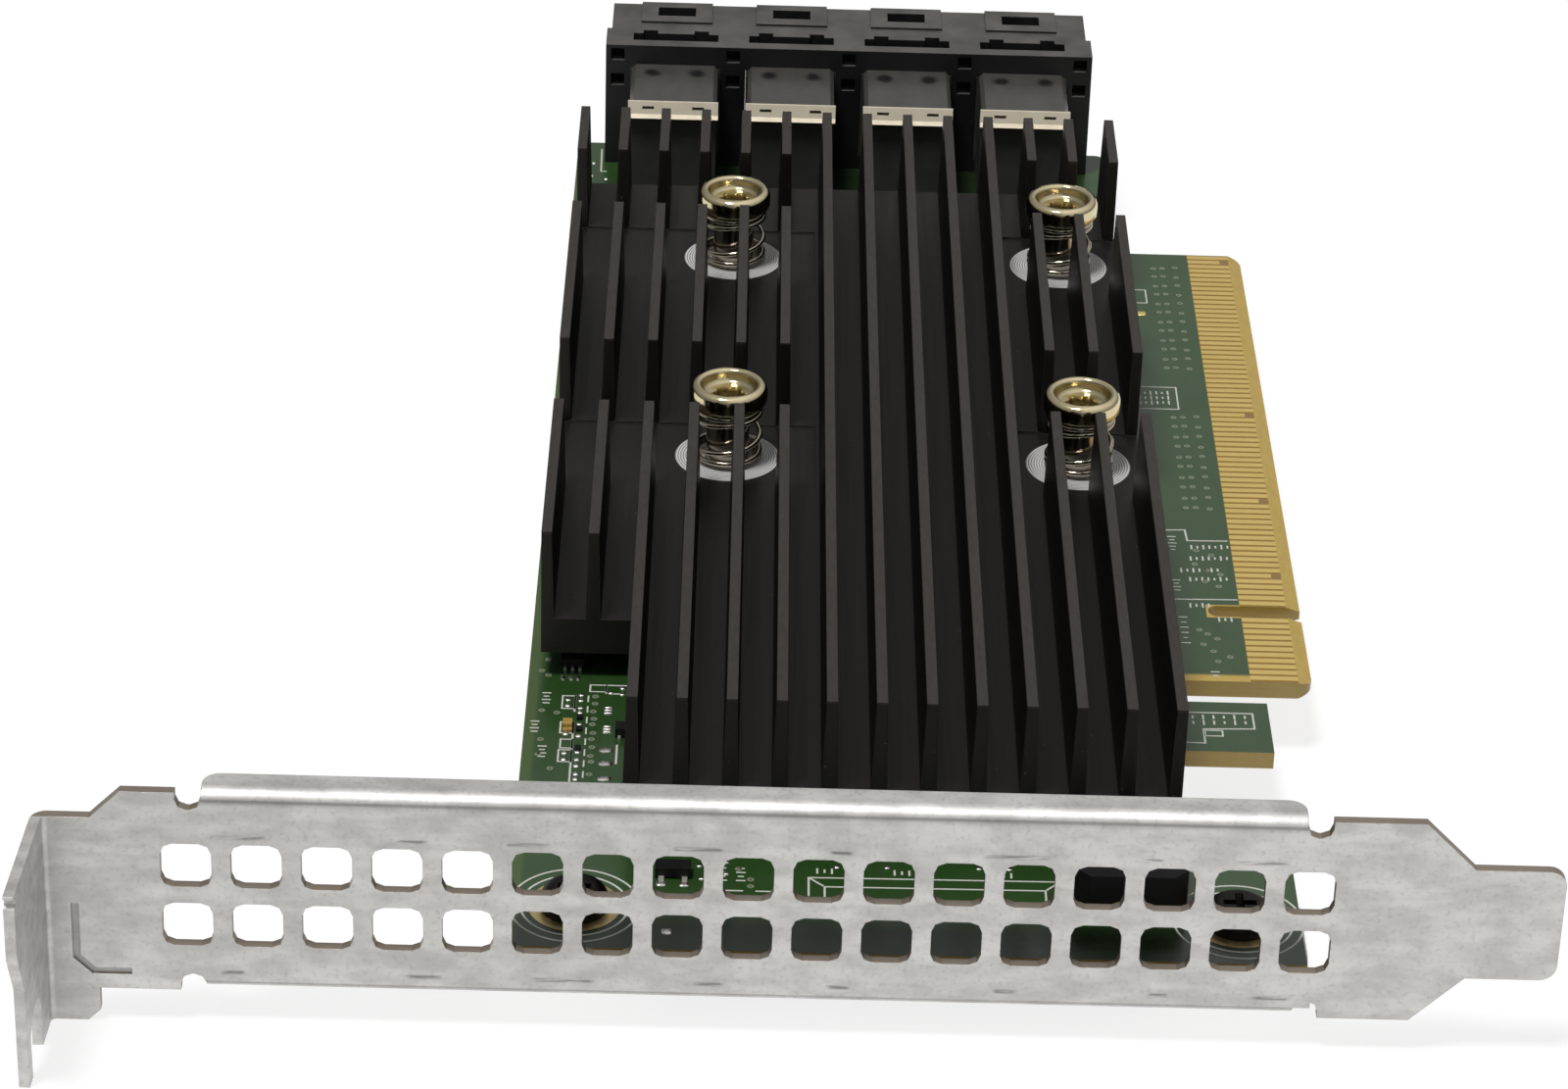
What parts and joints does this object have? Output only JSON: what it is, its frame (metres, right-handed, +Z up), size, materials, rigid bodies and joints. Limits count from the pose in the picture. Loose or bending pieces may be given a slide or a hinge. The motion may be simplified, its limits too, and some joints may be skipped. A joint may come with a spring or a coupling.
{
  "type": "nvme extender card",
  "caption": "Low-profile expansion card with a tall vented slot bracket, a black finned heatsink on spring screws and a row of cable sockets at the rear.",
  "frame": {"origin": "tip of the contact edge on the key notch's centre line, half way through the board", "axes": "+X out of the contact edge, +Y from the bracket to the cable sockets, +Z up from the component side"},
  "size_m": [0.1206, 0.1701, 0.0216],
  "materials": {
    "board_green": "satin solder mask",
    "contact_gold": "gold plated",
    "bracket_steel": "mottled zinc plating",
    "screw_black": "black oxide",
    "heatsink_black": "black anodised",
    "screw_nickel": "pale plating",
    "spring_steel": "bright wire",
    "nut_steel": "plated",
    "connector_black": "moulded",
    "module_smoke": "smoky gloss",
    "clip_metal": "bright sheet",
    "chip_black": "moulded epoxy",
    "thermal_grey": "soft pad",
    "light_amber": "clear lens"
  },
  "bodies": {
    "root": {"circuit_board": "board_green", "contact_pads_upper": "contact_gold", "contact_pads_lower": "contact_gold", "slot_bracket": "bracket_steel", "bracket_screws": "screw_black", "switch_chip": "chip_black", "thermal_pad": "thermal_grey", "heatsink": "heatsink_black", "heatsink_screws": "screw_nickel", "heatsink_springs": "spring_steel", "heatsink_nuts": "nut_steel", "connector_housing": "connector_black", "port_module_1": "module_smoke", "port_module_2": "module_smoke", "port_module_3": "module_smoke", "port_module_4": "module_smoke", "port_clip_1": "clip_metal", "port_clip_2": "clip_metal", "port_clip_3": "clip_metal", "port_clip_4": "clip_metal", "power_choke": "chip_black", "transistor": "chip_black", "driver_chip": "chip_black", "sensor_chip": "chip_black", "status_light": "light_amber"}
  },
  "joints": []
}
